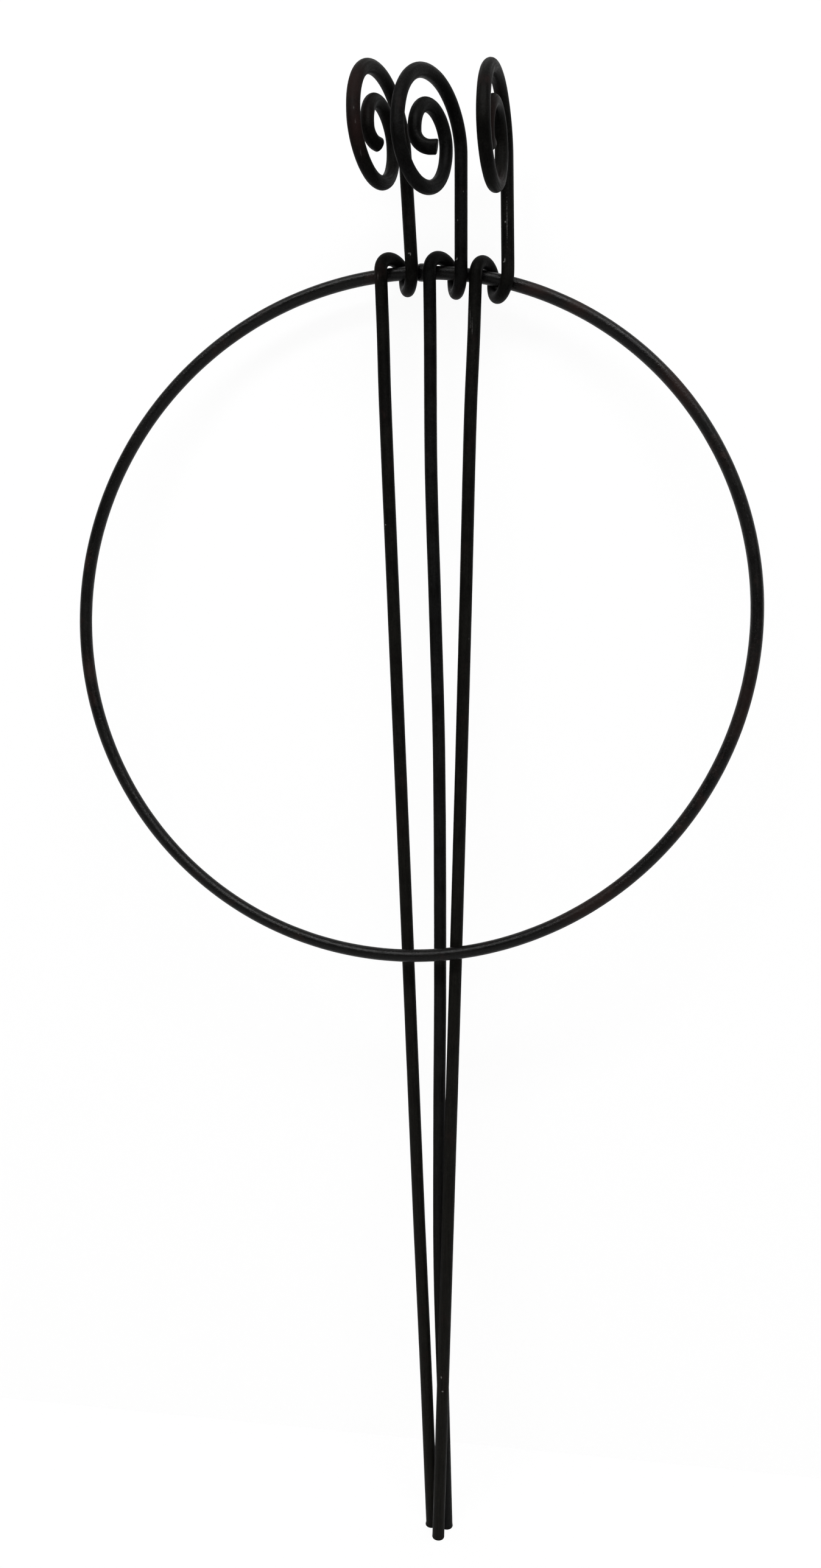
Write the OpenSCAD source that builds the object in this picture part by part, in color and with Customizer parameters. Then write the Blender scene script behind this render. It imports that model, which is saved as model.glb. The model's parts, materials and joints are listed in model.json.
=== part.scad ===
// Plant support ring stake: a round wire ring that hangs in the wrapped loops of three scrolled wire stakes.
// Lengths are in millimetres, +Z is up and -Y is the front. The origin is the tip of the middle leg.

/* [Wire] */
// Thickness of the round wire of the ring and the stakes
wire_d = 6; // [5:0.25:7]
// How much thinner the wire is drawn where it is bent
bend_draw = 0.04; // [0.02:0.01:0.1]
// How far straight wire laps over the bend next to it
lap = 0.1; // [0.05:0.05:0.2]
// Bevel round the cut end of a scroll
end_bevel = 0.4; // [0.2:0.1:0.8]

/* [Ring] */
// Diameter of the ring along the middle of its wire
ring_d = 320; // [260:5:380]
// Thickness of the weld bead that closes the ring
weld_d = 8.6; // [7.5:0.1:9]
// Length of the weld bead along the wire
weld_len = 5; // [4:0.5:5]
// Place of the weld bead, in degrees to the right of the ring's top
weld_turn = 3.3; // [3.1:0.1:3.4]

/* [Loops] */
// Play between the ring's wire and the inside of a loop
loop_play = 2.3; // [2.2:0.05:2.6]
// Gap between the leg and the shank of one stake
loop_gap = 8.8; // [8.4:0.1:9.2]
// Share of the loop's sideways step that its lower half-turn takes
under_share = 0.39; // [0.36:0.01:0.44]
// Straight wire between two bends that lie in different planes
back_run = 0.6; // [0.4:0.1:1]

/* [Stakes] */
// Height of the middle loop above the tip of its leg
loop_h = 611; // [500:1:700]
// Straight length of the left shank between its loop and its scroll
left_shank_h = 48.8; // [42:0.1:60]
// Straight length of the middle shank
middle_shank_h = 47.8; // [42:0.1:60]
// Straight length of the right shank
right_shank_h = 47.2; // [42:0.1:60]
// Bend radius where a shank leaves the line of its leg
lean_r = 60; // [40:5:80]
// Mean bend radius of the first quarter-turn of the scroll
scroll_r = 29.5; // [27:0.5:31]
// How much tighter each further quarter-turn is bent
scroll_step = 3.45; // [3.2:0.05:3.7]
// Share by which quarter-turns are bent tighter and wider by turns, which makes the scroll oval
scroll_oval_share = 0.2; // [0:0.01:0.22]
// Quarter-turns in a scroll
scroll_quarters = 7; // [5:1:7]
// Straight end of the left and of the right scroll
tail_len = 2.5; // [2:0.5:4]
// Straight end of the middle scroll
middle_tail_len = 4; // [2:0.5:6]

/* [Arrangement] */
// How far the middle loop sits to the right of the ring's top
ring_shift = 20.9; // [20:0.1:22]
// Gap between the left stake's shank and the middle leg
left_gap = 2; // [1.6:0.1:2.6]
// Gap between the middle stake's shank and the right leg
right_gap = 0.5; // [0.4:0.05:1]
// Gap between the tips of the left and the middle leg
tip_gap = 1.6; // [1:0.1:2.4]
// How far the right leg's tip goes past the middle leg's tip
cross_run = 2.4; // [0.5:0.1:3]
// Clearance where one wire passes in front of another
pass_gap = 1.1; // [1:0.05:1.5]
// How far the ring's wire sits above the middle of the left loop
left_lift = 0.5; // [0.3:0.1:0.7]
// How far the ring's wire sits above the middle of the middle loop
middle_lift = 0.8; // [0.6:0.1:1]
// How far the ring's wire sits above the middle of the right loop
right_lift = 0.2; // [0:0.1:0.4]
// Lean of the left shank against its leg, in degrees to the left
left_shank_lean = 1.35; // [0.5:0.05:2]
// Lean of the middle shank against its leg, in degrees to the right
middle_shank_lean = 0.6; // [0.3:0.05:1]
// Lean of the right shank against its leg, in degrees to the left
right_shank_lean = 2.45; // [1.5:0.05:3]
// Turn of the left scroll's plane, in degrees towards the front
left_turn = 76.7; // [70:0.1:80]
// Turn of the middle scroll's plane, in degrees towards the front
middle_turn = 68.6; // [64:0.1:74]
// Turn of the right scroll's plane, in degrees towards the front
right_turn = 84.8; // [78:0.1:88]
// Turn of the middle scroll's last quarter out of its plane, in degrees to the right
middle_twist = 63; // [40:1:70]

/* [Part] */
// Piece to draw

/* [Hidden] */
$fn = 64;

wire_r = wire_d / 2;
bend_d = wire_d - bend_draw;
ring_r = ring_d / 2;
weld_r = weld_d / 2;
// The bead rises from halfway between the wire and its own thickness
weld_foot_r = (wire_r + weld_r) / 2;

// A loop: one half-turn under the ring to the back, then one half-turn over it to the front
loop_r = wire_d + loop_play;
loop_pitch = wire_d + loop_gap;
under_run = loop_pitch * under_share;
over_run = loop_pitch - under_run;
under_angle = asin(under_run / (2 * loop_r));
over_angle = asin(over_run / (2 * loop_r));
leg_x = -loop_pitch / 2;
shank_x = loop_pitch / 2;
back_x = shank_x - under_run;
back_y = loop_r * cos(over_angle);
leg_y = -back_y;
shank_y = back_y - 2 * loop_r * cos(under_angle);

// Places of the loops along the ring, measured sideways from its top
left_place = ring_shift - (loop_pitch + wire_d + left_gap);
right_place = ring_shift + (loop_pitch + wire_d + right_gap);

// Leans that bring the three tips together
left_lean = -atan((ring_shift - left_place - wire_d - tip_gap) / loop_h);
right_lean = atan((right_place - ring_shift + cross_run) / loop_h);

// Forward reach that clears the middle leg at the depth below the loops where the right leg crosses it
cross_depth = (right_place - ring_shift) / tan(right_lean);
right_reach = -atan((wire_d + pass_gap) / cross_depth);

// Tilt that brings the ring's lower arc in front of the right leg
ring_tilt = asin((back_y + wire_d + pass_gap - ring_d * tan(right_reach)) / ring_d);

// A point of the ring's wire, from the ring's middle, at a sideways place from its top
function on_ring(place) =
    let (rise = sqrt(ring_r * ring_r - place * place))
    [place, rise * sin(ring_tilt), rise * cos(ring_tilt)];

middle_wire = [shank_x, back_y, loop_h + middle_lift];
ring_middle = middle_wire - on_ring(ring_shift);
left_loop = ring_middle + on_ring(left_place) - [0, 0, left_lift];
middle_loop = middle_wire - [0, 0, middle_lift];
right_loop = ring_middle + on_ring(right_place) - [0, 0, right_lift];

// Length of a leg that reaches the ground from its loop with a sideways lean and a forward reach
function leg_length(loop, lean, reach) =
    let (start = loop[2] - leg_x * sin(lean) * cos(reach) + leg_y * sin(reach))
    let (upright = cos(lean) * cos(reach))
    (start - wire_r * sqrt(1 - upright * upright)) / upright;

// Straight wire that runs up from the origin, with what follows at its end
module straight(length) {
    translate([0, 0, -lap])
        cylinder(d = wire_d, h = length + 2 * lap);
    translate([0, 0, length])
        children();
}

// Straight wire that runs up from the origin to the bevelled end of a scroll
module tail(length) {
    translate([0, 0, -lap])
        cylinder(d = wire_d, h = length - end_bevel + lap);
    translate([0, 0, length - end_bevel])
        cylinder(d1 = wire_d, d2 = wire_d - 2 * end_bevel, h = end_bevel);
}

// Bend of wire that starts upwards at the origin and turns to the left, with what follows at its end
module bend(bend_r, angle) {
    translate([-bend_r, 0, 0])
        rotate([90, 0, 0])
            rotate_extrude(angle = angle)
                translate([bend_r, 0])
                    circle(d = bend_d);
    translate([bend_r * (cos(angle) - 1), 0, bend_r * sin(angle)])
        rotate([0, -angle, 0])
            children();
}

// Scroll of quarter-turns, each tighter than the one before it, that ends in what follows.
// Straight wire before the last quarter-turn lets that one be twisted out of the scroll's plane.
module scroll(mean_r, oval_share, quarters, twist) {
    bend(mean_r * (1 - oval_share), 90)
        if (quarters > 2)
            scroll(mean_r - scroll_step, -oval_share, quarters - 1, twist)
                children();
        else
            straight(back_run)
                rotate([0, 0, twist])
                    bend((mean_r - scroll_step) * (1 + oval_share), 90)
                        children();
}

// One stake with the middle of its loop at the origin: leg, turn over the ring, turn under it, then what follows.
// What follows starts upwards, with its X axis along that of the stake.
module stake(leg_len) {
    translate([leg_x, leg_y, back_run / 2]) {
        translate([0, 0, -leg_len - back_run / 2])
            cylinder(d = wire_d, h = leg_len + back_run / 2 + lap);
        rotate([0, 0, -90 - over_angle])
            bend(loop_r, 180)
                straight(back_run)
                    rotate([0, 0, -over_angle - under_angle])
                        bend(loop_r, 180)
                            straight(back_run)
                                rotate([0, 0, 90 - under_angle])
                                    children();
    }
}

// Shank that leans by an angle, to the left at side 0 and to the right at side 180, with its scroll and tail
module shank(height, lean, side, scroll_turn, twist, tail_length) {
    rotate([0, 0, side])
        bend(lean_r, lean)
            straight(height)
                rotate([0, 0, scroll_turn - side])
                    scroll(scroll_r, scroll_oval_share, scroll_quarters, twist)
                        tail(tail_length);
}

// Raised bead round the wire along the Z axis, with sloping sides
module weld_bead() {
    rotate_extrude()
        polygon([
            [0, -weld_len / 2],
            [weld_foot_r, -weld_len / 2],
            [weld_r, -weld_len / 4],
            [weld_r, weld_len / 4],
            [weld_foot_r, weld_len / 2],
            [0, weld_len / 2]
        ]);
}

// The closed wire ring with its weld bead, tilted so that its lower arc stands forward
module ring() {
    color("DimGray")
        translate(ring_middle)
            rotate([-ring_tilt, 0, 0]) {
                rotate([90, 0, 0])
                    rotate_extrude()
                        translate([ring_r, 0])
                            circle(d = wire_d);
                rotate([0, weld_turn, 0])
                    translate([0, 0, ring_r])
                        rotate([0, 90, 0])
                            weld_bead();
            }
}

// The stake whose leg leans to the right, behind the other two
module left_stake() {
    color("DarkSlateGray")
        translate(left_loop)
            rotate([0, left_lean, 0])
                stake(leg_length(left_loop, left_lean, 0))
                    shank(left_shank_h, left_shank_lean, 0, left_turn, 0, tail_len);
}

// The upright stake between the other two
module middle_stake() {
    color("SlateGray")
        translate(middle_loop)
            stake(leg_length(middle_loop, 0, 0))
                shank(middle_shank_h, middle_shank_lean, 180, middle_turn, middle_twist, middle_tail_len);
}

// The stake whose leg crosses in front of the middle one
module right_stake() {
    color("Gray")
        translate(right_loop)
            rotate([right_reach, 0, 0])
                rotate([0, right_lean, 0])
                    stake(leg_length(right_loop, right_lean, right_reach))
                        shank(right_shank_h, right_shank_lean, 0, right_turn, 0, tail_len);
}

ring();
left_stake();
middle_stake();
right_stake();
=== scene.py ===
# %% [markdown]
# # A plant support ring stake in Blender
#
# The object is a hoop of round steel bar that hangs in the wrapped loops of three scrolled stakes.
# It is painted a satin black that has worn a little outdoors.
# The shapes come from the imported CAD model, and this lesson adds the finish, the small forged details,
# the light and the camera.

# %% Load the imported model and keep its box
import json
import math

import bpy
from mathutils import Euler, Matrix, Vector, noise
from mathutils.bvhtree import BVHTree

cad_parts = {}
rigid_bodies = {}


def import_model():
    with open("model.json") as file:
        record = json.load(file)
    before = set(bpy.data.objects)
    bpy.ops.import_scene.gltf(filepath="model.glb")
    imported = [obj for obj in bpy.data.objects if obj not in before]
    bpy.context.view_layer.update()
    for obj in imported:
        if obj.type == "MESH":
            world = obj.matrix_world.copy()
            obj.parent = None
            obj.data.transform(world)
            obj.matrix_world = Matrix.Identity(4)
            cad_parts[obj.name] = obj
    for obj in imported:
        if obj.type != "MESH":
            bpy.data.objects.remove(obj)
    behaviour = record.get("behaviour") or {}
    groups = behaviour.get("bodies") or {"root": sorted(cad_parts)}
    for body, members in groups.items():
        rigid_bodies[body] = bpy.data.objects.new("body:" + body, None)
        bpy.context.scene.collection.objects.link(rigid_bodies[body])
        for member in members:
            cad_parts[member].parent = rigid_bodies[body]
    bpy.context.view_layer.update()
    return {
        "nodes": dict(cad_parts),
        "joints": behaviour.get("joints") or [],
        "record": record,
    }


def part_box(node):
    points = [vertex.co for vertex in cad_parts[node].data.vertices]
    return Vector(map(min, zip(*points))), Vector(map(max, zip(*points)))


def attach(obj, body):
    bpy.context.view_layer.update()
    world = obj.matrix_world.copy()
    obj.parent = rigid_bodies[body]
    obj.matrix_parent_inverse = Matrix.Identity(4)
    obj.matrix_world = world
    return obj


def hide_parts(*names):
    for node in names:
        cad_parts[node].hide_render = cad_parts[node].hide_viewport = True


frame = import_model()

# %% [markdown]
# ## Where things are
#
# A finish or a small form needs to know where the bar runs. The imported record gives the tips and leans
# of the three legs and the points where the ring passes through the loops, so the other places can be
# worked out from these. Reading them is better than typing them in, because they follow the CAD model
# when it changes.

# %% Read the legs and the loops
MM = 0.001
joints = frame["joints"]
legs = {m["name"].replace("_leg", "_stake"): m for m in frame["record"]["mounts"]}
loops = {j["child"] if j["parent"] == "ring" else j["parent"]: Vector(j["pos_m"]) for j in joints}
fold_axis = Vector(joints[0]["axis"])
bar_r = legs["middle_stake"]["dims"]["r_mm"] * MM


def leg_tip(stake):
    """Middle of a leg's cut end, and the direction in which the leg points down."""
    down = Vector(legs[stake]["axis"]).normalized()
    start = Vector(legs[stake]["pos_m"])
    lowest = bar_r * math.sqrt(1 - down.z**2)
    return start + down * ((start.z - lowest) / -down.z), down


for stake in legs:
    print(stake, "tip", [round(v, 4) for v in leg_tip(stake)[0]])

# %% Work out the ring's middle and its tilt
ring_low, ring_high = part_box("ring")
ring_r = (ring_high.x - ring_low.x) / 2 - bar_r
ring_x = (ring_high.x + ring_low.x) / 2
middle_loop = loops["middle_stake"]
rise = math.sqrt(ring_r**2 - (middle_loop.x - ring_x) ** 2)
ring_tilt = math.asin((middle_loop.y - ring_low.y - bar_r) / (rise + ring_r))
to_middle = Vector((0, math.sin(ring_tilt), math.cos(ring_tilt))) * rise
ring_middle = Vector((ring_x, middle_loop.y, middle_loop.z)) - to_middle
print("ring radius", round(ring_r, 4), "tilt in degrees", round(math.degrees(ring_tilt), 2))

# %% [markdown]
# ## The camera
#
# The picture was taken from close by, so the scrolls are seen a little from below and the tips from above.
# A wide lens close to the object gives that perspective. A longer lens further back would flatten it.

# %% Set the camera
camera_data = bpy.data.cameras.new("camera")
camera_data.lens = 25.99
camera_data.clip_start = 0.01
camera = bpy.data.objects.new("camera", camera_data)
camera.location = (0.078958, -0.531775, 0.418667)
camera.rotation_euler = Euler([math.radians(a) for a in (85.316, 0.8026, 9.661)])
bpy.context.scene.collection.objects.link(camera)
bpy.context.scene.camera = camera
print("camera at", [round(v, 3) for v in camera.location])

# %% [markdown]
# ## Node helpers
#
# Every finish below is drawn by nodes. They could be placed by hand in the shader editor, but code can be
# read and repeated. Three small helpers keep the cells short: one adds a node with its settings, one joins
# two sockets, and one starts a material.


# %% Helpers for shader nodes
def add(tree, kind, values=None, **settings):
    """Adds a shader node, with plain values for some of its inputs."""
    made = tree.nodes.new("ShaderNode" + kind)
    for key, value in settings.items():
        setattr(made, key, value)
    for key, value in (values or {}).items():
        made.inputs[key].default_value = value
    return made


def join(tree, source, target):
    """Joins an output socket to an input socket."""
    tree.links.new(source, target)


def new_material(name):
    """An empty node material with its output node."""
    material = bpy.data.materials.new(name)
    material.use_nodes = True
    material.node_tree.nodes.clear()
    return material, material.node_tree, add(material.node_tree, "OutputMaterial")


print("node helpers made:", ", ".join(helper.__name__ for helper in (add, join, new_material)))

# %% [markdown]
# ## Floor, wall and light
#
# The stake leans against a white wall on a white floor. In the model's frame the stake stands upright, so
# here the wall leans instead, and it just touches the backs of the loops. Floor and wall are plain sheets
# whose camera rays see mostly a flat white, mixed with a share of real shading that keeps the soft shadow.
# The wall lets rays through its back, so that the object can be looked at from behind as well.

# %% The white of the stage
WHITE_SHARE = 0.94
STAGE_PAINT = (0.82, 0.82, 0.82, 1)
WHITE = (1, 1, 1, 1)


def stage_white(name, one_sided):
    """A white that shows plain to the camera and keeps a soft shadow."""
    material, tree, out = new_material(name)
    shade = add(tree, "BsdfDiffuse", {"Color": STAGE_PAINT})
    white = add(tree, "Emission", {"Color": WHITE, "Strength": 1})
    ray = add(tree, "LightPath")
    seen = add(tree, "Math", operation="MAXIMUM")
    seen_too = add(tree, "Math", operation="MAXIMUM")
    share = add(tree, "Math", {1: WHITE_SHARE}, operation="MULTIPLY")
    join(tree, ray.outputs["Is Camera Ray"], seen.inputs[0])
    join(tree, ray.outputs["Is Glossy Ray"], seen.inputs[1])
    join(tree, seen.outputs[0], seen_too.inputs[0])
    join(tree, ray.outputs["Is Transmission Ray"], seen_too.inputs[1])
    join(tree, seen_too.outputs[0], share.inputs[0])
    last = add(tree, "MixShader")
    join(tree, share.outputs[0], last.inputs[0])
    join(tree, shade.outputs[0], last.inputs[1])
    join(tree, white.outputs[0], last.inputs[2])
    if one_sided:
        front = last
        side = add(tree, "NewGeometry")
        clear = add(tree, "BsdfTransparent")
        last = add(tree, "MixShader")
        join(tree, side.outputs["Backfacing"], last.inputs[0])
        join(tree, front.outputs[0], last.inputs[1])
        join(tree, clear.outputs[0], last.inputs[2])
    join(tree, last.outputs[0], out.inputs["Surface"])
    return material


floor_white = stage_white("floor_white", False)
wall_white = stage_white("wall_white", True)
print("whites made:", floor_white.name, wall_white.name)

# %% Make the floor and the wall
HALF = 3.0
WALL_H = 2.0
WALL_FOOT = 0.0632
WALL_LEAN = math.radians(4.3)


def stage_sheet(name, corners, material):
    """A flat four-cornered sheet that belongs to the stage."""
    mesh = bpy.data.meshes.new(name)
    mesh.from_pydata(corners, [], [(0, 1, 2, 3)])
    mesh.materials.append(material)
    piece = bpy.data.objects.new(name, mesh)
    bpy.context.scene.collection.objects.link(piece)


wall_top = WALL_FOOT - WALL_H * math.tan(WALL_LEAN)
floor_corners = [(-HALF, -HALF, 0), (HALF, -HALF, 0), (HALF, HALF, 0), (-HALF, HALF, 0)]
wall_low = [(-HALF, WALL_FOOT, 0), (HALF, WALL_FOOT, 0)]
wall_high = [(HALF, wall_top, WALL_H), (-HALF, wall_top, WALL_H)]
stage_sheet("floor", floor_corners, floor_white)
stage_sheet("wall", wall_low + wall_high, wall_white)
print("floor and wall made, with the wall's foot at y =", WALL_FOOT)

# %% [markdown]
# ## Soft light
#
# A bright room and one long high window light the object softly, and the window draws a narrow line of
# light along the top of each bar. Many lamps could stand for the room, but an even world does it with less
# noise, and one long area lamp is the window.

# %% Set the light
ROOM_LIGHT = 0.28
WINDOW_PLACE = (0.1, -1.1, 1.8)
WINDOW_SIZE = (1.8, 0.25)
WINDOW_POWER = 42

world = bpy.data.worlds.new("studio")
bpy.context.scene.world = world
world.use_nodes = True
tree = world.node_tree
tree.nodes.clear()
room = add(tree, "Background", {"Color": WHITE, "Strength": ROOM_LIGHT})
white = add(tree, "Background", {"Color": WHITE, "Strength": 1})
ray = add(tree, "LightPath")
mix = add(tree, "MixShader")
out = add(tree, "OutputWorld")
join(tree, ray.outputs["Is Camera Ray"], mix.inputs[0])
join(tree, room.outputs[0], mix.inputs[1])
join(tree, white.outputs[0], mix.inputs[2])
join(tree, mix.outputs[0], out.inputs["Surface"])


def softbox(name, place, aim, size, power):
    """A large oblong lamp that points at a place."""
    data = bpy.data.lights.new(name, "AREA")
    data.shape = "RECTANGLE"
    data.size, data.size_y = size
    data.energy = power
    lamp = bpy.data.objects.new(name, data)
    lamp.location = place
    lamp.rotation_euler = (aim - Vector(place)).to_track_quat("-Z", "Y").to_euler()
    bpy.context.scene.collection.objects.link(lamp)


softbox("high_window", WINDOW_PLACE, ring_middle, WINDOW_SIZE, WINDOW_POWER)
print("light set: room", ROOM_LIGHT, "and window", WINDOW_POWER, "W")

# %% [markdown]
# ## The worn black finish
#
# The bar was dipped or brushed black over mill scale. Close up it isn't one colour: the black is mottled,
# it goes brown where rust comes through, it has fine streaks from drawing the bar, and small chips show bare
# steel. A painted picture could show all that, but noise that is worked out at each point has no seams.
# These effects are the same on the ring and on the stakes, so they are one node group with named inputs.
# Each material gives it its own amounts.


# %% Helpers for node groups
def group_socket(group, way, name, kind="NodeSocketFloat"):
    """A named input or output of a node group."""
    group.interface.new_socket(name=name, in_out=way, socket_type=kind)


def noise_at(group, place, scale, detail, roughness):
    """A noise texture read at a place."""
    texture = add(group, "TexNoise", {"Scale": scale, "Detail": detail, "Roughness": roughness})
    join(group, place, texture.inputs["Vector"])
    return texture.outputs["Fac"]


def combine(group, operation, first, second):
    """One Math node whose inputs are sockets, or a plain number for the second."""
    made = add(group, "Math", operation=operation)
    join(group, first, made.inputs[0])
    if isinstance(second, (int, float)):
        made.inputs[1].default_value = second
    else:
        join(group, second, made.inputs[1])
    return made.outputs[0]


def stretch(group, value, low, high, to_low=0.0, to_high=1.0):
    """Maps the stretch from low to high of a value onto another one."""
    ends = {"From Min": low, "From Max": high, "To Min": to_low, "To Max": to_high}
    made = add(group, "MapRange", ends)
    join(group, value, made.inputs["Value"])
    return made.outputs["Result"]


print("group helpers made:", ", ".join(f.__name__ for f in (group_socket, noise_at, combine, stretch)))


# %% The group for mottling, rust, chips, streaks and grain
def make_bar_wear():
    """Masks and heights of the worn finish, at a place and at the same place along the bar."""
    group = bpy.data.node_groups.new("bar_wear", "ShaderNodeTree")
    group_socket(group, "INPUT", "Place", "NodeSocketVector")
    group_socket(group, "INPUT", "Along", "NodeSocketVector")
    group_socket(group, "INPUT", "Rust")
    group_socket(group, "INPUT", "Chips")
    for name in ("Mottle", "Rusty", "Bare", "Sheen", "Streak", "Height"):
        group_socket(group, "OUTPUT", name)
    given = group.nodes.new("NodeGroupInput")
    result = group.nodes.new("NodeGroupOutput")
    place, along = given.outputs["Place"], given.outputs["Along"]

    # Broad patches, clouds in them and fine specks in these
    broad = noise_at(group, place, scale=75, detail=3, roughness=0.6)
    clouds = noise_at(group, place, scale=210, detail=5, roughness=0.65)
    specks = noise_at(group, place, scale=1300, detail=2, roughness=0.6)
    mottle = combine(group, "MULTIPLY", clouds, stretch(group, specks, 0.3, 0.7, 0.35, 1.65))
    mottle = combine(group, "MULTIPLY", mottle, stretch(group, broad, 0.35, 0.65, 0.5, 1.5))
    join(group, stretch(group, mottle, 0.2, 0.85), result.inputs["Mottle"])

    # Rust in patches that break up into grains
    patches = noise_at(group, place, scale=42, detail=6, roughness=0.68)
    patches = combine(group, "ADD", patches, given.outputs["Rust"])
    grains = noise_at(group, place, scale=620, detail=4, roughness=0.7)
    grains = stretch(group, grains, 0.36, 0.62, 0.25, 1.0)
    rusty = combine(group, "MULTIPLY", stretch(group, patches, 0.6, 0.84), grains)
    join(group, rusty, result.inputs["Rusty"])

    # Fine streaks along the bar, and a sheen that changes with them and from patch to patch
    streak = noise_at(group, along, scale=1500, detail=2, roughness=0.5)
    sheen = stretch(group, combine(group, "ADD", streak, broad), 0.75, 1.25)
    join(group, streak, result.inputs["Streak"])
    join(group, sheen, result.inputs["Sheen"])

    # Small chips: a few cells of a cell pattern, with torn edges
    cells = add(group, "TexVoronoi", {"Scale": 230, "Randomness": 1}, feature="F1")
    join(group, place, cells.inputs["Vector"])
    tears = noise_at(group, place, scale=2600, detail=3, roughness=0.7)
    torn = combine(group, "ADD", cells.outputs["Distance"], combine(group, "MULTIPLY", tears, 0.5))
    pick = add(group, "SeparateColor")
    join(group, cells.outputs["Color"], pick.inputs[0])
    kept = combine(group, "LESS_THAN", pick.outputs[0], given.outputs["Chips"])
    bare = combine(group, "MULTIPLY", kept, stretch(group, torn, 0.36, 0.28, 0.0, 0.4))
    join(group, bare, result.inputs["Bare"])

    # Grain of the painted scale, sunk where a chip is
    grain = noise_at(group, place, scale=1000, detail=4, roughness=0.65)
    join(group, combine(group, "SUBTRACT", grain, bare), result.inputs["Height"])
    return group


bar_wear = make_bar_wear()
print("bar_wear has outputs", [s.name for s in bar_wear.interface.items_tree if s.in_out == "OUTPUT"])

# %% [markdown]
# ## Single marks
#
# A few marks sit in one place: a nick where a shank was gripped while its loop was bent, a scrape down a
# leg, a rusty inner face. Noise can't be aimed at a place, so a second group measures how far a point of the
# surface is from the middle of a mark. The distance is divided by the mark's size, which allows long thin
# scrapes, and is roughened so that the edge is torn like chipped paint.

# %% The group for one mark
MARK_RIM = 1.1


def make_mark():
    """The mask of one mark with a middle and a size."""
    group = bpy.data.node_groups.new("mark", "ShaderNodeTree")
    for name in ("Place", "Middle", "Size"):
        group_socket(group, "INPUT", name, "NodeSocketVector")
    for name in ("Ragged", "Tear", "Sharp", "Strength"):
        group_socket(group, "INPUT", name)
    group_socket(group, "OUTPUT", "Mask")
    given = group.nodes.new("NodeGroupInput")
    result = group.nodes.new("NodeGroupOutput")
    offset = add(group, "VectorMath", operation="SUBTRACT")
    join(group, given.outputs["Place"], offset.inputs[0])
    join(group, given.outputs["Middle"], offset.inputs[1])
    shrunk = add(group, "VectorMath", operation="DIVIDE")
    join(group, offset.outputs[0], shrunk.inputs[0])
    join(group, given.outputs["Size"], shrunk.inputs[1])
    far = add(group, "VectorMath", operation="LENGTH")
    join(group, shrunk.outputs[0], far.inputs[0])
    torn = add(group, "TexNoise", {"Detail": 4, "Roughness": 0.7})
    join(group, given.outputs["Place"], torn.inputs["Vector"])
    join(group, given.outputs["Tear"], torn.inputs["Scale"])
    pull = combine(group, "MULTIPLY", torn.outputs["Fac"], given.outputs["Ragged"])
    edge = combine(group, "ADD", far.outputs["Value"], pull)
    mask = add(group, "MapRange", {"From Min": MARK_RIM}, interpolation_type="SMOOTHSTEP")
    join(group, edge, mask.inputs["Value"])
    join(group, given.outputs["Sharp"], mask.inputs["From Max"])
    join(group, given.outputs["Strength"], mask.inputs["To Max"])
    join(group, mask.outputs["Result"], result.inputs["Mask"])
    return group


mark_group = make_mark()
print("mark has inputs", [s.name for s in mark_group.interface.items_tree if s.in_out == "INPUT"])

# %% [markdown]
# ## Where the marks are
#
# Each mark was found on the picture and is given by its kind, its middle on the bar and its size in metres.
# Nicks and scrapes show bare steel. Stains are wide and soft, and they make the black rusty.

# %% The kinds of marks
# How ragged a kind of mark is, how fine its edge is torn, how sharp its edge is and how strong it is
NICK = {"Ragged": 0.7, "Tear": 2600, "Sharp": 0.6, "Strength": 0.3}
SCRAPE = {"Ragged": 1.3, "Tear": 1500, "Sharp": 0.8, "Strength": 0.15}
SCUFF = {"Ragged": 1.4, "Tear": 2400, "Sharp": 0.6, "Strength": 0.12}
STAIN = {"Ragged": 0.6, "Tear": 260, "Sharp": 0.0, "Strength": 0.75}
RUST_SPOT = {**STAIN, "Strength": 0.48}
print("the strongest of the bare marks covers", NICK["Strength"], "of the paint")

# %% The marks of each piece
left_nicks = [
    (NICK, (-0.0085, -0.0045, 0.6178), (0.0012, 0.002, 0.0005)),
    (NICK, (-0.0080, -0.0045, 0.6173), (0.0005, 0.002, 0.0011)),
    (SCRAPE, (-0.0236, -0.0028, 0.6095), (0.0004, 0.002, 0.0040)),
    (SCUFF, (-0.0219, -0.0577, 0.6570), (0.0008, 0.003, 0.0026)),
    (SCUFF, (-0.0214, -0.0574, 0.6517), (0.0008, 0.003, 0.0028)),
    (SCUFF, (-0.0203, -0.0527, 0.6413), (0.0006, 0.003, 0.0056)),
]
left_stains = [
    (STAIN, (-0.0237, -0.0545, 0.6690), (0.020, 0.030, 0.026)),
    (STAIN, (-0.0205, -0.0570, 0.6500), (0.012, 0.012, 0.028)),
]
middle_nicks = [
    (NICK, (0.0129, -0.0041, 0.6136), (0.0010, 0.002, 0.0005)),
    (NICK, (0.0133, -0.0041, 0.6139), (0.0005, 0.002, 0.0010)),
    (SCRAPE, (0.0138, -0.0044, 0.6307), (0.0007, 0.002, 0.0012)),
    (SCRAPE, (0.0165, -0.0043, 0.6429), (0.0007, 0.002, 0.0012)),
]
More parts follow.
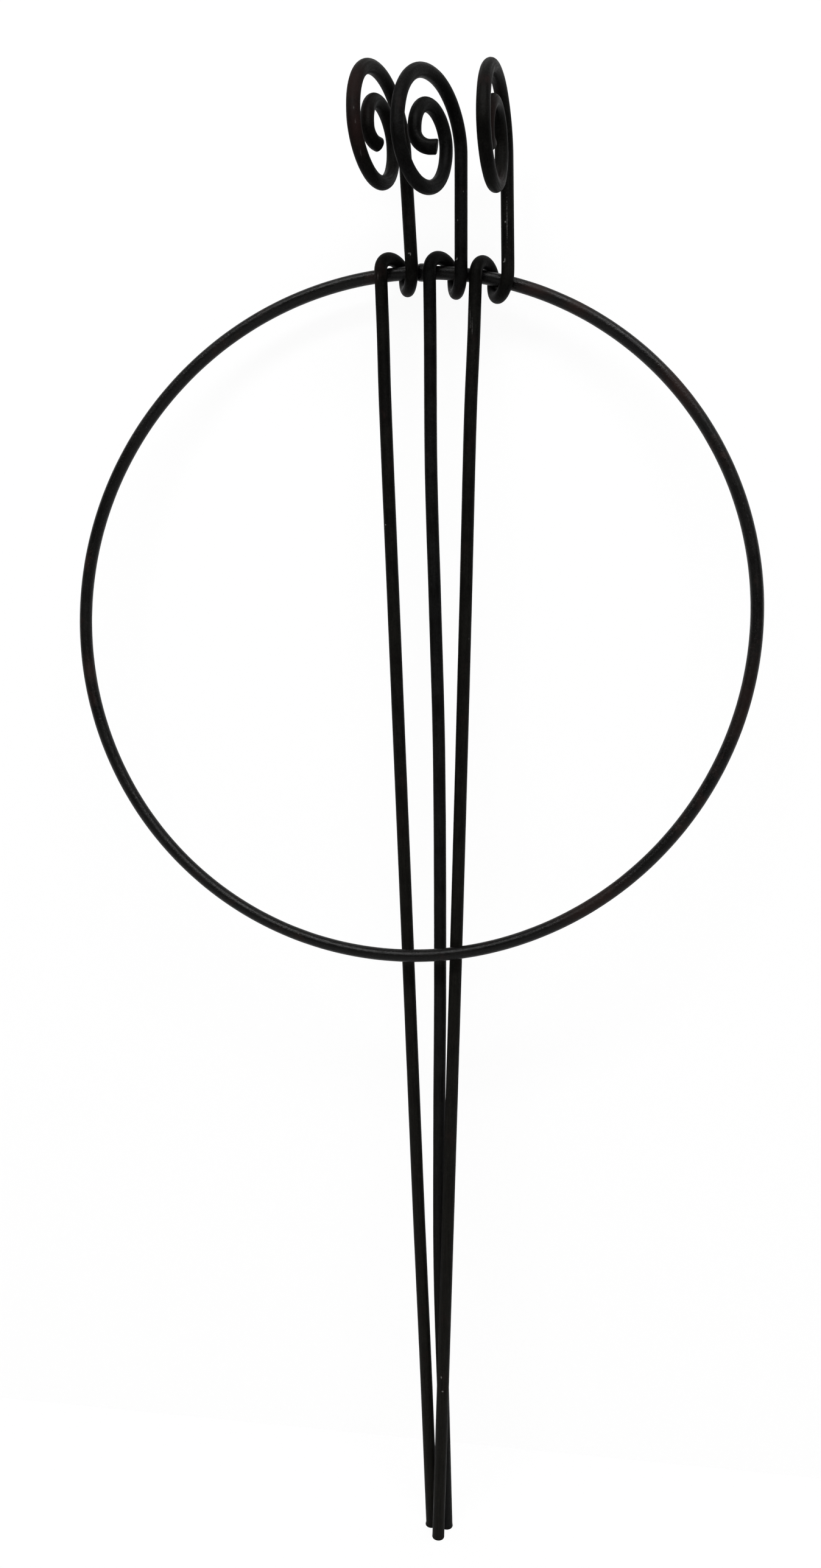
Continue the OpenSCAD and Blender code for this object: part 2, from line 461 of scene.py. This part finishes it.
right_nicks = [
    (NICK, (0.0350, -0.0045, 0.6116), (0.0005, 0.002, 0.0016)),
    (NICK, (0.0346, -0.0045, 0.6109), (0.0009, 0.002, 0.0005)),
    (NICK, (0.0353, -0.0045, 0.6281), (0.0006, 0.002, 0.0007)),
    (SCRAPE, (0.0361, -0.0047, 0.6290), (0.0005, 0.002, 0.026)),
    (SCRAPE, (0.0189, -0.0030, 0.5880), (0.0004, 0.002, 0.014)),
    (SCRAPE, (0.0198, -0.0034, 0.5840), (0.0003, 0.002, 0.011)),
    (NICK, (0.0006, -0.0100, 0.0843), (0.0006, 0.002, 0.0011)),
    (NICK, (0.0012, -0.0101, 0.0772), (0.0008, 0.002, 0.0007)),
]
right_stains = [
    (STAIN, (0.0352, -0.0420, 0.6540), (0.010, 0.020, 0.028)),
    (STAIN, (0.0360, -0.0330, 0.6400), (0.010, 0.020, 0.016)),
]
ring_stains = [
    (RUST_SPOT, (0.0486, 0.0033, 0.6007), (0.020, 0.008, 0.009)),
    (RUST_SPOT, (0.0678, 0.0029, 0.5920), (0.016, 0.008, 0.011)),
    (RUST_SPOT, (0.1130, 0.0010, 0.5530), (0.022, 0.020, 0.030)),
    (RUST_SPOT, (0.1460, -0.0060, 0.4000), (0.022, 0.020, 0.056)),
    (RUST_SPOT, (0.0760, -0.0095, 0.3156), (0.036, 0.020, 0.036)),
    (RUST_SPOT, (-0.1705, -0.0040, 0.4320), (0.012, 0.012, 0.014)),
]
print("bare marks:", len(left_nicks + middle_nicks + right_nicks))
print("stains:", len(left_stains + right_stains + ring_stains))

# %% [markdown]
# ## One black for each piece
#
# The ring and the three stakes wear differently, so each gets its own copy of the black with its own tone
# and its own amount of rust and chips. The ring is handled and rubbed most, so its black is glossier and
# grittier. Towards the tips the black is painted paler below a set height: this is painted light, which
# lifts the lower legs as more light would. The streaks have to follow the bar, so they are noise that is
# pulled out
# along it: every skin below carries its own place along the bar, in an attribute called bar_place.

# %% The tones
BLACK = (0.0013, 0.0012, 0.0011, 1)
SOOT = (0.0030, 0.0028, 0.0025, 1)
OLIVE = (0.0040, 0.0038, 0.0032, 1)
STEELY = (0.0041, 0.0041, 0.0040, 1)
RUST = (0.021, 0.0068, 0.0044, 1)
BROWN = (0.0135, 0.0068, 0.0062, 1)
STEEL = (0.34, 0.335, 0.325, 1)
# The height in metres below which the black is painted paler, as painted light towards the tips, and how
# much paler it is than the black
PAINTED_LIGHT_TOP = 0.62
PAINTED_LIGHT_TONE = 3.2
# How far streaks are pulled out, the roughness of rust, and the depths of the grain and the streaks
PULL = 0.05
RUST_ROUGH = 0.8
GRAIN_DEPTH = 0.3 * MM
STREAK_DEPTH = 0.2 * MM
STREAK_STRENGTH = 0.1
print("steel is", round(STEEL[0] / STEELY[0]), "times as bright as the palest black")


# %% Helpers for the black
def mark_mask(tree, place, kind, middle, size):
    """The mask of one mark."""
    mark = tree.nodes.new("ShaderNodeGroup")
    mark.node_tree = mark_group
    join(tree, place, mark.inputs["Place"])
    mark.inputs["Middle"].default_value = middle
    mark.inputs["Size"].default_value = size
    for name, value in kind.items():
        mark.inputs[name].default_value = value
    return mark.outputs["Mask"]


def strongest(tree, first, masks):
    """The strongest of several masks at each point."""
    for mask in masks:
        first = combine(tree, "MAXIMUM", first, mask)
    return first


def mix_colour(tree, share, first, second):
    """A share of the second colour over the first, which are sockets or plain colours."""
    made = add(tree, "Mix", data_type="RGBA")
    join(tree, share, made.inputs[0])
    # A Mix node keeps its two colours in inputs 6 and 7, and their mix in output 2
    for colour, target in ((first, made.inputs[6]), (second, made.inputs[7])):
        if isinstance(colour, bpy.types.NodeSocket):
            join(tree, colour, target)
        else:
            target.default_value = colour
    return made.outputs[2]


print("helpers for the black made:", ", ".join(f.__name__ for f in (mark_mask, strongest, mix_colour)))


# %% The satin black
def worn_black(name, look, nicks=(), stains=()):
    """Satin black over steel, with rust, chips and streaks that follow the bar."""
    material, tree, out = new_material(name)
    place = add(tree, "TexCoord").outputs["Object"]
    unrolled = add(tree, "Attribute", attribute_name="bar_place")
    pulled = add(tree, "VectorMath", {1: (1, 1, PULL)}, operation="MULTIPLY")
    join(tree, unrolled.outputs["Vector"], pulled.inputs[0])
    wear = tree.nodes.new("ShaderNodeGroup")
    wear.node_tree = bar_wear
    wear.inputs["Rust"].default_value = look["rust"]
    wear.inputs["Chips"].default_value = look["chips"]
    join(tree, place, wear.inputs["Place"])
    join(tree, pulled.outputs[0], wear.inputs["Along"])
    bare = strongest(tree, wear.outputs["Bare"], [mark_mask(tree, place, *nick) for nick in nicks])
    rusty = strongest(tree, wear.outputs["Rusty"], [mark_mask(tree, place, *stain) for stain in stains])

    # Mottled black, painted paler towards the tips as painted light that the streaks break up, then rust,
    # then bare steel
    height = add(tree, "SeparateXYZ")
    join(tree, place, height.inputs[0])
    # Painted light: the share by which the black is painted paler, growing from the set height down to the
    # tips
    painted_light_share = stretch(tree, height.outputs["Z"], PAINTED_LIGHT_TOP, 0, 0, look["painted_light_amount"])
    streaked = stretch(tree, wear.outputs["Streak"], 0.3, 0.7, 0.3, 1)
    painted_light_colour = [PAINTED_LIGHT_TONE * part for part in look["tone"][:3]] + [1]
    colour = mix_colour(tree, wear.outputs["Mottle"], BLACK, look["tone"])
    colour = mix_colour(tree, combine(tree, "MULTIPLY", painted_light_share, streaked), colour, painted_light_colour)
    colour = mix_colour(tree, rusty, colour, look["rust_tone"])
    colour = mix_colour(tree, bare, colour, STEEL)

    # The sheen of the black, dulled by rust
    dull = add(tree, "Mix", {3: RUST_ROUGH}, data_type="FLOAT")
    join(tree, rusty, dull.inputs[0])
    join(tree, stretch(tree, wear.outputs["Sheen"], 0, 1, *look["rough"]), dull.inputs[2])

    # Grain and streaks that the hand would feel
    grain = add(tree, "Bump", {"Strength": look["grit"], "Distance": GRAIN_DEPTH})
    join(tree, wear.outputs["Height"], grain.inputs["Height"])
    lines = add(tree, "Bump", {"Strength": STREAK_STRENGTH, "Distance": STREAK_DEPTH})
    join(tree, wear.outputs["Streak"], lines.inputs["Height"])
    join(tree, grain.outputs[0], lines.inputs["Normal"])

    paint = add(tree, "BsdfPrincipled", {"Specular IOR Level": look["gloss"]})
    join(tree, colour, paint.inputs["Base Color"])
    join(tree, dull.outputs[0], paint.inputs["Roughness"])
    join(tree, bare, paint.inputs["Metallic"])
    join(tree, lines.outputs[0], paint.inputs["Normal"])
    join(tree, paint.outputs[0], out.inputs["Surface"])
    print(name, "has", len(tree.nodes), "nodes")
    return material


print("recipe for the finishes made:", worn_black.__name__)

# %% The finish of each piece
# Each look also gives how much paler its black is painted towards the tips, which is painted light
ring_look = {
    "tone": SOOT, "painted_light_amount": 0, "rust": 0.02, "rust_tone": RUST, "chips": 0.012,
    "gloss": 0.12, "rough": (0.17, 0.38), "grit": 0.7,
}
left_look = {
    "tone": OLIVE, "painted_light_amount": 0.6, "rust": 0.04, "rust_tone": BROWN, "chips": 0.008,
    "gloss": 0.026, "rough": (0.36, 0.6), "grit": 0.45,
}
middle_look = {**left_look, "tone": STEELY, "rust": 0.01, "chips": 0.005}
right_look = {**left_look, "rust": 0.03}
finishes = {
    "ring": worn_black("ring_black", ring_look, (), ring_stains),
    "left_stake": worn_black("left_stake_black", left_look, left_nicks, left_stains),
    "middle_stake": worn_black("middle_stake_black", middle_look, middle_nicks),
    "right_stake": worn_black("right_stake_black", right_look, right_nicks, right_stains),
}
print("finishes made:", ", ".join(f.name for f in finishes.values()))

# %% [markdown]
# ## The course of a bar
#
# The ring and the stakes are each one piece of bar: a stake is a straight leg, a turn over the ring to the
# back, a turn under it to the front, a short shank, and a scroll. The solid is built from the same straights
# and bends. Here the middle of the bar is followed step by step, as a bender feeds it, and every point is
# kept. A tube is then drawn along the points. A curve object with a round bevel would be quicker, but here
# each point of the skin knows how far along the bar it is, which the streaks in the paint need.


# %% Follow a bar
class BarCourse:
    """Follows the middle of a bar and keeps its points, its headings and the lengths run so far."""

    def __init__(self, start, heading):
        self.points, self.headings, self.runs = [start.copy()], [heading.normalized()], [0.0]

    def step(self, point, heading):
        """Goes on to a point, with a new heading there."""
        self.runs.append(self.runs[-1] + (point - self.points[-1]).length)
        self.points.append(point)
        self.headings.append(heading.normalized())

    def straight(self, length, step=4 * MM):
        """Runs straight on."""
        start, heading = self.points[-1], self.headings[-1]
        count = max(1, round(length / step))
        for k in range(1, count + 1):
            self.step(start + heading * (length * k / count), heading)

    def bend(self, way, radius, angle, depth=1.0, step=math.radians(4)):
        """Bends towards a side, to a share of the full depth.

        Returns the way to the bend's middle at its end.
        """
        start, heading = self.points[-1], self.headings[-1]
        count = max(2, round(angle / step))
        for k in range(1, count + 1):
            a = angle * k / count
            point = start + (heading * math.sin(a) * depth + way * (1 - math.cos(a))) * radius
            self.step(point, heading * math.cos(a) * depth + way * math.sin(a))
        return way * math.cos(angle) - heading * math.sin(angle)


trial = BarCourse(Vector((0, 0, 0)), Vector((0, 0, 1)))
trial.bend(Vector((1, 0, 0)), 10 * MM, math.pi / 2)
print("a trial quarter-turn of radius 10 mm runs", round(trial.runs[-1] / MM, 2), "mm")

# %% [markdown]
# ## The stakes
#
# The sizes of the bends are those of the solid, but a real loop is hammered down on the ring a little more
# than the solid's, which keeps room to turn. No two loops are alike: each has its own sideways step and its
# own heights. The inner end of each scroll was curled by hand, so it is tighter or twisted in its own way.

# %% Sizes of the loops and the scrolls
LOOP_R = 8.3 * MM
LOOP_PITCH = 14.8 * MM
OVER_SHARE = 0.61
SHORT_RUN = 0.6 * MM
LEAN_R = 60 * MM
SCROLL_R = 29.5 * MM
SCROLL_STEP = 3.45 * MM
SCROLL_OVAL = 0.2
SCROLL_QUARTERS = 7
END_STEP = 1 * MM
# For each stake: shank height, lean (to the left below 0), scroll turn, how many of the last quarters were
# curled by hand, the twist where these start, their share of the solid's radius, and the straight end
SHANKS = {
    "left_stake": (48.8 * MM, -1.35, 76.7, 1, 14, 0.77, 2.0 * MM),
    "middle_stake": (47.8 * MM, 0.6, 68.6, 1, 63, 1.0, 2.6 * MM),
    "right_stake": (47.2 * MM, -2.45, 84.8, 2, -6, 0.83, 3.0 * MM),
}
# For each loop: the share of its sideways step that the turn over the ring takes, the height of that turn,
# and the height of the turn under the ring
LOOP_TURNS = {
    "left_stake": (0.61, 6.9 * MM, 6.8 * MM),
    "middle_stake": (0.63, 7.3 * MM, 7.9 * MM),
    "right_stake": (0.46, 7.25 * MM, 7.4 * MM),
}
to_back = math.sqrt(4 * LOOP_R**2 - (LOOP_PITCH * OVER_SHARE) ** 2)
to_front = math.sqrt(4 * LOOP_R**2 - (LOOP_PITCH * (1 - OVER_SHARE)) ** 2)
print("a loop goes", round(to_back / MM, 2), "mm back and", round(to_front / MM, 2), "mm forward")


# %% Lay out the three stakes
def scroll_on(bar, way, stake):
    """Adds a stake's scroll to its bar, quarter by quarter, and the straight end."""
    curled, twist, curl, end = SHANKS[stake][3:]
    first_curled = SCROLL_QUARTERS - curled
    for quarter in range(SCROLL_QUARTERS):
        radius = (SCROLL_R - quarter * SCROLL_STEP) * (1 - SCROLL_OVAL * (-1) ** quarter)
        if quarter == first_curled:
            bar.straight(SHORT_RUN)
            way = Matrix.Rotation(math.radians(twist), 3, bar.headings[-1]) @ way
        if quarter >= first_curled:
            radius *= curl
        way = bar.bend(way, radius, math.pi / 2)
    bar.straight(end, END_STEP)


def stake_course(stake):
    """The course of one stake's bar from the tip of its leg to the end of its scroll."""
    tip, down = leg_tip(stake)
    lean, reach = math.asin(-down.x), math.atan2(down.y, -down.z)
    stand = Matrix.Rotation(reach, 3, "X") @ Matrix.Rotation(lean, 3, "Y")
    height, shank_lean, turn = SHANKS[stake][:3]
    shank_side = Vector((math.copysign(1, shank_lean), 0, 0))
    over_share, over_height, under_height = LOOP_TURNS[stake]
    over = Vector((LOOP_PITCH * over_share, to_back, 0)) / 2
    under = Vector((LOOP_PITCH * (1 - over_share), -to_front, 0)) / 2
    bar = BarCourse(tip, -down)
    bar.straight(legs[stake]["dims"]["length_mm"] * MM)
    bar.bend(stand @ over.normalized(), over.length, math.pi, over_height / over.length)
    bar.straight(SHORT_RUN)
    bar.bend(stand @ under.normalized(), under.length, math.pi, under_height / under.length)
    bar.straight(SHORT_RUN)
    bar.bend(stand @ shank_side, LEAN_R, math.radians(abs(shank_lean)))
    bar.straight(height)
    stand = stand @ Matrix.Rotation(math.radians(shank_lean), 3, "Y")
    turn = math.radians(turn)
    scroll_on(bar, stand @ Vector((-math.cos(turn), -math.sin(turn), 0)), stake)
    return bar


courses = {stake: stake_course(stake) for stake in SHANKS}
for stake, bar in courses.items():
    print(stake, "bar length", round(bar.runs[-1], 4))

# %% [markdown]
# ## Room to turn
#
# The ring turns in the loops, so a loop that is hammered down too far would bite into it. The least gap
# between each stake and the ring is measured with the ring at rest and folded. The distance from the solid
# is measured too: it is largest at the inner ends of the scrolls.

# %% Measure the gaps and the distance from the solids
FOLDS = (0, 30, 60, 90)


def ring_gap(points, pivot, fold):
    """Least gap between a stake's bar and the ring's, with the ring folded about the stake's loop."""
    back = Matrix.Rotation(-math.radians(fold), 3, fold_axis)
    flat = Matrix.Rotation(ring_tilt, 3, "X")
    places = [flat @ (pivot + back @ (point - pivot) - ring_middle) for point in points]
    return min(math.hypot(math.hypot(p.x, p.z) - ring_r, p.y) for p in places) - 2 * bar_r


def off_solid(point, solid):
    """How far a point of a course is from the middle of its solid's bar."""
    spot, normal, _, _ = solid.find_nearest(point)
    return bar_r + (point - spot).dot(normal)


for stake, bar in courses.items():
    gaps = [round(ring_gap(bar.points, loops[stake], fold) / MM, 2) for fold in FOLDS]
    solid = BVHTree.FromObject(frame["nodes"][stake], bpy.context.evaluated_depsgraph_get())
    off = max(off_solid(point, solid) for point in bar.points[4:-6])
    print(stake, "gaps", gaps, "mm at folds", FOLDS, "and off the solid by", round(off / MM, 2), "mm")

# %% [markdown]
# ## The skin of a bar
#
# A row of points is set round the bar at every step of its course, and neighbouring rows are joined by
# faces. The skin is dented by a few hundredths of a millimetre, always inwards, as rolled and hand-bent bar
# is. A stake's skin is closed by its two cut ends and the ring's by its own first row.

# %% Rows of points round a bar
SIDES = 32
DENTS = 0.05 * MM
DENT_SCALE = 160


def worn_radius(point, out):
    """Radius of the bar at a point, with its shallow dents."""
    return bar_r - DENTS * (0.5 + 0.5 * noise.noise((point + out * bar_r) * DENT_SCALE))


def skin_rows(course, radius_at, shift_at):
    """Rows of points round a bar, and the same points unrolled: round the bar and along it."""
    side = course.headings[0].orthogonal().normalized()
    rows, unrolled = [], []
    for point, heading, run in zip(course.points, course.headings, course.runs):
        side = (side - heading * side.dot(heading)).normalized()
        across = heading.cross(side)
        for i in range(SIDES):
            turn = 2 * math.pi * i / SIDES
            out = side * math.cos(turn) + across * math.sin(turn)
            spot = point + out * radius_at(point, out, run) + shift_at(point, out, run)
            spot.z = max(spot.z, 0)
            rows.append(spot)
            unrolled.append((math.cos(turn) * bar_r, math.sin(turn) * bar_r, run))
    return rows, unrolled


flat_by = bar_r * (1 - math.cos(math.pi / SIDES))
print("a row of", SIDES, "points is flat by", round(flat_by / MM, 3), "mm between two points")

# %% Faces between the rows
SHARP_ANGLE = math.radians(35)


def skin_faces(point_count, closed):
    """Faces between neighbouring rows, and the two ends or the last row's faces to the first."""
    count = point_count // SIDES
    faces = []
    for k in range(count if closed else count - 1):
        up = SIDES if k < count - 1 else SIDES - point_count
        for i in range(SIDES):
            a, b = k * SIDES + i, k * SIDES + (i + 1) % SIDES
            faces.append((a, b, b + up, a + up))
    if not closed:
        faces.append(tuple(reversed(range(SIDES))))
        faces.append(tuple(range(point_count - SIDES, point_count)))
    return faces


def draw_skin(name, body, rows, unrolled, closed):
    """A piece made of rows of points, that rides on a body and stands for its solid."""
    mesh = bpy.data.meshes.new(name)
    mesh.from_pydata(rows, [], skin_faces(len(rows), closed))
    place = mesh.attributes.new("bar_place", "FLOAT_VECTOR", "POINT")
    place.data.foreach_set("vector", [v for flat in unrolled for v in flat])
    mesh.shade_smooth()
    mesh.set_sharp_from_angle(angle=SHARP_ANGLE)
    mesh.materials.append(finishes[body])
    piece = bpy.data.objects.new(name, mesh)
    bpy.context.scene.collection.objects.link(piece)
    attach(piece, body)
    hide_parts(body)
    print(name, "has", len(mesh.polygons), "faces")


print("an open skin of two rows has", len(skin_faces(2 * SIDES, False)), "faces")

# %% [markdown]
# ## The hand-straightened legs
#
# The bar comes off a coil and is straightened by hand, so a real leg isn't a ruler: the middle one swings
# a millimetre or two to each side on its way down. The solid's legs are straight, because they have to slide
# into soil or a sleeve. Here each leg is moved sideways along a smooth course through a few heights. A curve
# deform could do that too, but the points are still at hand, so they are moved before the skin is drawn.

# %% The course of each leg
# Heights in millimetres and the sideways shift there
LEG_COURSE = {
    "left_stake": [(0, 1.1), (80, 1.0), (170, 0.5), (318, 0.2), (457, -0.15), (555, -0.35), (588, 0)],
    "middle_stake": [
        (0, 0.9), (60, 0.1), (135, -1.1), (209, -0.3), (282, 1.0), (388, 1.75), (457, 0.73),
        (520, -0.37), (588, 0),
    ],
    "right_stake": [(0, 0.1), (170, 0.25), (318, 0.25), (457, -0.1), (545, -0.5), (585, 0)],
}


def course_shift(course, height):
    """Sideways shift at a height, on a smooth curve through the course's points."""
    at = max(i for i in range(len(course) - 1) if course[i][0] <= max(height, 0))
    (h0, s0), (h1, s1) = course[at], course[at + 1]
    before = course[at - 1] if at else course[at]
    after = course[at + 2] if at + 2 < len(course) else (2 * h1 - h0, s1)
    slope0 = (s1 - before[1]) / (h1 - before[0])
    slope1 = (after[1] - s0) / (after[0] - h0)
    t, span = (max(height, 0) - h0) / (h1 - h0), h1 - h0
    return (
        (2 * t**3 - 3 * t**2 + 1) * s0
        + (t**3 - 2 * t**2 + t) * span * slope0
        + (3 * t**2 - 2 * t**3) * s1
        + (t**3 - t**2) * span * slope1
    )


for stake, course in LEG_COURSE.items():
    shifts = [course_shift(course, height) for height in range(course[-1][0])]
    print(stake, "leg is shifted from", round(min(shifts), 2), "to", round(max(shifts), 2), "mm")

# %% [markdown]
# ## The cut ends
#
# The shear that cut the bar spread the tips to one side, and soil rounded their edges. The end of each
# scroll has a small bevel and is a little slanted. Both need a few closer rows of points near the ends,
# which is simpler than cutting and bevelling the finished mesh.

# %% Draw the stakes
# The side to which the shear spread each tip, in degrees, and by how many millimetres
TIP_SPREAD = {"left_stake": (190, 0.45), "middle_stake": (340, 0.2), "right_stake": (250, 0.1)}
TIP_ROWS = (0.1 * MM, 0.3 * MM, 0.7 * MM, 1.2 * MM, 1.8 * MM)
TIP_REACH = TIP_ROWS[-1]
TIP_ROUND = 0.3 * MM
END_BEVEL = 0.35 * MM
END_ZONE = 1.5 * END_BEVEL
CUT_SLANT = 0.45 * MM


def add_end_rows(bar):
    """Extra steps close to the tip and before the bevelled end."""
    for row in reversed(TIP_ROWS):
        bar.points.insert(1, bar.points[0] + bar.headings[0] * row)
        bar.headings.insert(1, bar.headings[0])
        bar.runs.insert(1, row)
    bar.points.insert(-1, bar.points[-1] - bar.headings[-1] * END_BEVEL)
    bar.headings.insert(-1, bar.headings[-1])
    bar.runs.insert(-1, bar.runs[-1] - END_BEVEL)


def draw_stake(stake):
    """Draws one stake with its wavering leg, its spread tip and its bevelled end."""
    bar = courses[stake]
    add_end_rows(bar)
    total = bar.runs[-1]
    course = LEG_COURSE[stake]
    angle, spread = TIP_SPREAD[stake]
    spread_way = Vector((math.cos(math.radians(angle)), math.sin(math.radians(angle)), 0))

    def radius_at(point, out, run):
        radius = worn_radius(point, out)
        if run < TIP_REACH:
            radius += spread * MM * (1 - run / TIP_REACH) ** 2 * (0.5 + 0.5 * out.dot(spread_way))
        if run < TIP_ROUND:
            radius -= TIP_ROUND * (1 - math.sqrt(1 - (1 - run / TIP_ROUND) ** 2))
        return radius if run < total else radius - END_BEVEL

    def shift_at(point, out, run):
        if run < course[-1][0] * MM:
            return Vector((course_shift(course, run / MM) * MM, 0, 0))
        return bar.headings[-1] * CUT_SLANT * out.z if run > total - END_ZONE else Vector()

    rows, unrolled = skin_rows(bar, radius_at, shift_at)
    draw_skin(stake + "_bar", stake, rows, unrolled, closed=False)


for stake in SHANKS:
    draw_stake(stake)

# %% [markdown]
# ## The ring and its weld
#
# The ring is one bar bent into a hoop whose two ends are joined by a weld. The solid has a plain collar
# there. A real weld is a lump with a few ripples that flows into the bar. It could be a piece of its own,
# but then a seam would show, so the bar's own skin swells there: the rows are set closer together, and the
# radius is raised by a bow along the bar and roughened by noise.

# %% The course of the ring
WELD_TURN = math.radians(3.3)
WELD_ZONE = 4.5 * MM
WELD_ROWS = 45
RING_STEP = math.radians(1.2)


def ring_point(angle):
    """A point on the middle of the ring's bar, to the right of its top, and the bar's heading there."""
    tilt = Matrix.Rotation(-ring_tilt, 3, "X")
    out = tilt @ Vector((math.sin(angle), 0, math.cos(angle)))
    return ring_middle + out * ring_r, tilt @ Vector((math.cos(angle), 0, -math.sin(angle)))


def ring_course():
    """Once round the ring, from one side of its weld."""
    zone = WELD_ZONE / ring_r
    rest = 2 * math.pi - 2 * zone
    steps = round(rest / RING_STEP)
    angles = [zone * (2 * k / WELD_ROWS - 1) for k in range(WELD_ROWS + 1)]
    angles += [zone + rest * k / steps for k in range(1, steps)]
    bar = BarCourse(*ring_point(WELD_TURN + angles[0]))
    for angle in angles[1:]:
        bar.step(*ring_point(WELD_TURN + angle))
    return bar


ring_bar = ring_course()
print("ring bar length", round(ring_bar.runs[-1], 4))

# %% Draw the ring
WELD_REACH = 3.1 * MM
WELD_RISE = 1.15 * MM
WELD_BOW = 2.2
RIPPLE = 0.02 * MM
RIPPLE_LEN = 0.9 * MM
LUMP_SCALE = 260


def ring_radius(point, out, run):
    """Radius of the ring's bar, raised where the weld is."""
    from_weld = run - WELD_ZONE
    near = abs(from_weld) / WELD_REACH
    radius = worn_radius(point, out)
    if near < 1:
        lump = noise.noise((point + out * bar_r) * LUMP_SCALE)
        ripple = RIPPLE * math.sin(2 * math.pi * from_weld / RIPPLE_LEN + 2 * lump)
        radius += (WELD_RISE * (0.85 + 0.3 * lump) + ripple) * (1 - near**WELD_BOW)
    return radius


no_shift = Vector()
ring_rows, ring_unrolled = skin_rows(ring_bar, ring_radius, lambda point, out, run: no_shift)
draw_skin("ring_bar", "ring", ring_rows, ring_unrolled, closed=True)

# %% [markdown]
# ## View settings
#
# The Standard view shows each colour about as it is written.

# %% Finish
bpy.context.scene.view_settings.view_transform = "Standard"
